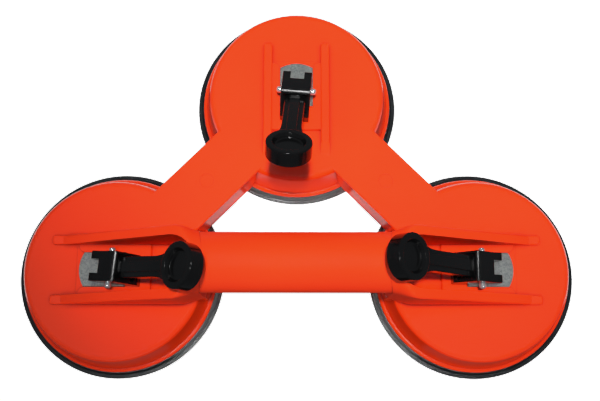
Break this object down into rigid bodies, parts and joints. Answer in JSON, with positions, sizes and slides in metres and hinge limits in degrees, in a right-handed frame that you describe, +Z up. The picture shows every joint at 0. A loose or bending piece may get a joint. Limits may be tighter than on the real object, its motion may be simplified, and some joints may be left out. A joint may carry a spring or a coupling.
{
  "type": "triple suction cup lifter",
  "caption": "Hand-held vacuum lifter with rubber cups under a moulded triangular frame, a round grip bar and a cam lever over each cup that draws its centre up.",
  "frame": {"origin": "on the floor under the middle of the plan", "axes": "+X along the grip bar, +Y towards the single cup opposite the bar, +Z up"},
  "size_m": [0.327, 0.2234, 0.0901],
  "materials": {
    "body_plastic": "orange-red moulded plastic, satin gloss",
    "lever_plastic": "black moulded plastic, glossy",
    "cup_rubber": "black rubber, smooth",
    "galvanised_steel": "galvanised, speckled grey",
    "plain_steel": "bright steel"
  },
  "bodies": {
    "root": {"frame": "body_plastic", "grip_cover": "body_plastic", "rubber_cup_left": "cup_rubber", "wear_plate_left": "galvanised_steel", "rubber_cup_right": "cup_rubber", "wear_plate_right": "galvanised_steel", "rubber_cup_top": "cup_rubber", "wear_plate_top": "galvanised_steel"},
    "lift_left": {"stem_left": "plain_steel", "backing_disc_left": "plain_steel", "pivot_pin_left": "plain_steel"},
    "throw_left": {"lever_left": "lever_plastic"},
    "lift_right": {"stem_right": "plain_steel", "backing_disc_right": "plain_steel", "pivot_pin_right": "plain_steel"},
    "throw_right": {"lever_right": "lever_plastic"},
    "lift_top": {"stem_top": "plain_steel", "backing_disc_top": "plain_steel", "pivot_pin_top": "plain_steel"},
    "throw_top": {"lever_top": "lever_plastic"}
  },
  "joints": [
    {"name": "stem_lift_left", "type": "slide", "parent": "root", "child": "lift_left", "axis": [0, 0, 1], "range_m": [0, 0.004]},
    {"name": "lever_throw_left", "type": "hinge", "parent": "lift_left", "child": "throw_left", "pos_m": [-0.1035, -0.05175, 0.035], "axis": [-0.0941, -0.9956, 0], "range_deg": [0, 90]},
    {"name": "stem_lift_right", "type": "slide", "parent": "root", "child": "lift_right", "axis": [0, 0, 1], "range_m": [0, 0.004]},
    {"name": "lever_throw_right", "type": "hinge", "parent": "lift_right", "child": "throw_right", "pos_m": [0.1035, -0.05175, 0.035], "axis": [0.0087, 1, 0], "range_deg": [0, 90]},
    {"name": "stem_lift_top", "type": "slide", "parent": "root", "child": "lift_top", "axis": [0, 0, 1], "range_m": [0, 0.004]},
    {"name": "lever_throw_top", "type": "hinge", "parent": "lift_top", "child": "throw_top", "pos_m": [0, 0.05175, 0.035], "axis": [-0.9969, 0.0785, 0], "range_deg": [0, 90]}
  ],
  "couplings": [
    {"joint": "stem_lift_left", "follows": "lever_throw_left", "m_per_rad": 0.0025464},
    {"joint": "stem_lift_right", "follows": "lever_throw_right", "m_per_rad": 0.0025464},
    {"joint": "stem_lift_top", "follows": "lever_throw_top", "m_per_rad": 0.0025464}
  ]
}
